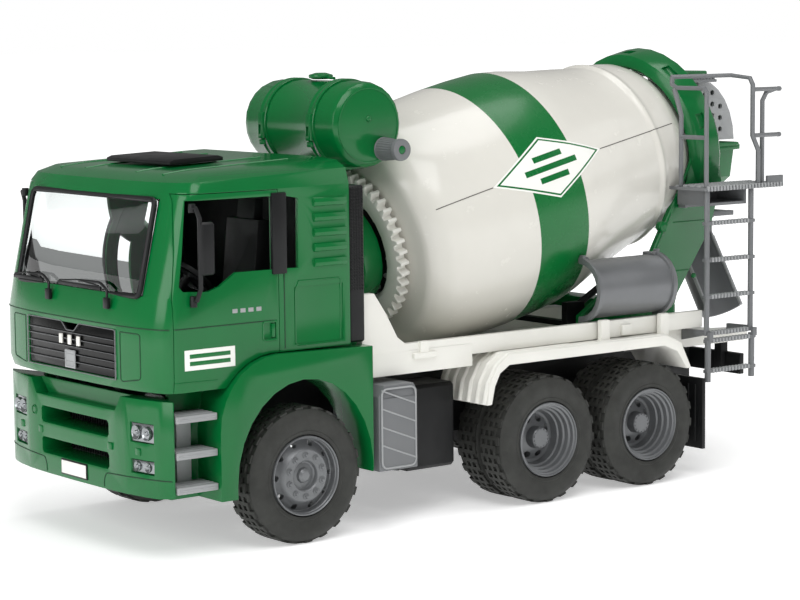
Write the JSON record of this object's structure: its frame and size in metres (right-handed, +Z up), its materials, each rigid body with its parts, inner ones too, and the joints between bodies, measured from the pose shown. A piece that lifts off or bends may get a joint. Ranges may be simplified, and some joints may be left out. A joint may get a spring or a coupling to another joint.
{
  "type": "toy cement mixer truck",
  "caption": "Toy concrete mixer truck with tilting cab, opening doors, rolling axles, knob-driven tilted drum, hopper, swivelling chute and folding ladder.",
  "frame": {"origin": "centre of the footprint of the whole truck, on the ground under the tyres", "axes": "+X towards the front of the truck, +Y towards its left side, +Z up"},
  "size_m": [0.477, 0.1836, 0.2582],
  "materials": {
    "green_abs": "glossy moulded ABS",
    "white_abs": "satin moulded ABS, warm white",
    "drum_abs": "glossy moulded ABS, warm grey white with a green band",
    "grey_abs": "satin moulded plastic, grey",
    "silver_abs": "satin moulded plastic, silver grey",
    "black_abs": "satin moulded plastic, black",
    "tyre_pvc": "soft moulded tyre, matt",
    "clear_ps": "clear moulded plastic",
    "lamp_ps": "clear lens over a silver reflector",
    "steel_axle": "drawn steel wire"
  },
  "bodies": {
    "chassis": {"chassis_frame": "black_abs", "fuel_tank": "grey_abs", "battery_box": "grey_abs", "bumper": "green_abs", "headlight_left": "lamp_ps", "headlight_right": "lamp_ps", "front_mudguard_left": "green_abs", "front_mudguard_right": "green_abs", "step_treads_left": "grey_abs", "step_treads_right": "grey_abs", "mixer_subframe": "white_abs", "rear_mudguard_left": "white_abs", "rear_mudguard_right": "white_abs", "tail_light_bar": "black_abs", "drum_front_bracket": "green_abs", "water_tank": "green_abs", "tank_cap": "green_abs", "drum_rear_frame": "green_abs", "drum_stay": "black_abs", "hopper": "green_abs", "hopper_guard": "grey_abs", "platform": "grey_abs", "handrail": "grey_abs", "ladder_upper": "grey_abs", "chute_bracket": "grey_abs"},
    "front_wheels": {"front_axle": "steel_axle", "front_axle_rim_left": "silver_abs", "front_axle_tyre_left": "tyre_pvc", "front_axle_rim_right": "silver_abs", "front_axle_tyre_right": "tyre_pvc"},
    "middle_wheels": {"middle_axle": "steel_axle", "middle_axle_rim_left": "silver_abs", "middle_axle_tyre_left": "tyre_pvc", "middle_axle_rim_right": "silver_abs", "middle_axle_tyre_right": "tyre_pvc"},
    "rear_wheels": {"rear_axle": "steel_axle", "rear_axle_rim_left": "silver_abs", "rear_axle_tyre_left": "tyre_pvc", "rear_axle_rim_right": "silver_abs", "rear_axle_tyre_right": "tyre_pvc"},
    "cab": {"cab_shell": "green_abs", "windscreen": "clear_ps", "grille": "black_abs", "cab_interior": "black_abs", "seats": "black_abs", "steering_wheel": "black_abs", "roof_hatch": "black_abs", "air_intake": "black_abs"},
    "door_left": {"door_left": "green_abs"},
    "door_right": {"door_right": "green_abs"},
    "mirror_left": {"mirror_left": "black_abs"},
    "mirror_right": {"mirror_right": "black_abs"},
    "drum": {"drum_shell": "drum_abs", "drum_gear_ring": "white_abs"},
    "drive_pinion": {"drive_pinion": "white_abs"},
    "drive_knob": {"drive_knob": "grey_abs"},
    "chute": {"chute": "grey_abs"},
    "chute_extension": {"chute_extension": "silver_abs"},
    "ladder_lower": {"ladder_lower": "grey_abs"}
  },
  "joints": [
    {"name": "front_axle_spin", "type": "hinge", "parent": "chassis", "child": "front_wheels", "pos_m": [0.1465, 0, 0.037], "axis": [0, 1, 0], "continuous": true},
    {"name": "middle_axle_spin", "type": "hinge", "parent": "chassis", "child": "middle_wheels", "pos_m": [-0.0245, 0, 0.037], "axis": [0, 1, 0], "continuous": true},
    {"name": "rear_axle_spin", "type": "hinge", "parent": "chassis", "child": "rear_wheels", "pos_m": [-0.1042, 0, 0.037], "axis": [0, 1, 0], "continuous": true},
    {"name": "cab_tilt", "type": "hinge", "parent": "chassis", "child": "cab", "pos_m": [0.231, 0, 0.09], "axis": [0, 1, 0], "range_deg": [0, 40]},
    {"name": "door_left_open", "type": "hinge", "parent": "cab", "child": "door_left", "pos_m": [0.2266, 0.083, 0.12], "axis": [0, 0, -1], "range_deg": [0, 65]},
    {"name": "door_right_open", "type": "hinge", "parent": "cab", "child": "door_right", "pos_m": [0.2266, -0.083, 0.12], "axis": [0, 0, 1], "range_deg": [0, 65]},
    {"name": "mirror_left_fold", "type": "hinge", "parent": "door_left", "child": "mirror_left", "pos_m": [0.2153, 0.0852, 0.16], "axis": [0, 0, -1], "range_deg": [-20, 60]},
    {"name": "mirror_right_fold", "type": "hinge", "parent": "door_right", "child": "mirror_right", "pos_m": [0.2153, -0.0852, 0.16], "axis": [0, 0, 1], "range_deg": [-20, 60]},
    {"name": "drum_spin", "type": "hinge", "parent": "chassis", "child": "drum", "pos_m": [0.04184, 0, 0.14833], "axis": [-0.9737, 0, 0.228], "continuous": true},
    {"name": "pinion_spin", "type": "hinge", "parent": "chassis", "child": "drive_pinion", "pos_m": [0.04819, -0.04824, 0.17545], "axis": [-0.9737, 0, 0.228], "continuous": true},
    {"name": "knob_spin", "type": "hinge", "parent": "chassis", "child": "drive_knob", "pos_m": [0.0652, 0.0498, 0.206], "axis": [0, 1, 0], "continuous": true},
    {"name": "chute_swivel", "type": "hinge", "parent": "chassis", "child": "chute", "pos_m": [-0.222, 0, 0.15], "axis": [0, 0, 1], "range_deg": [-15, 195]},
    {"name": "chute_extension_lift", "type": "slide", "parent": "chassis", "child": "chute_extension", "axis": [0, 0.5, 0.866], "range_m": [0, 0.06]},
    {"name": "ladder_fold", "type": "hinge", "parent": "chassis", "child": "ladder_lower", "pos_m": [-0.1746, 0.0856, 0.0864], "axis": [1, 0, 0], "range_deg": [0, 165]}
  ],
  "couplings": [
    {"joint": "pinion_spin", "follows": "drum_spin", "ratio": -4},
    {"joint": "knob_spin", "follows": "drum_spin", "ratio": -4}
  ]
}
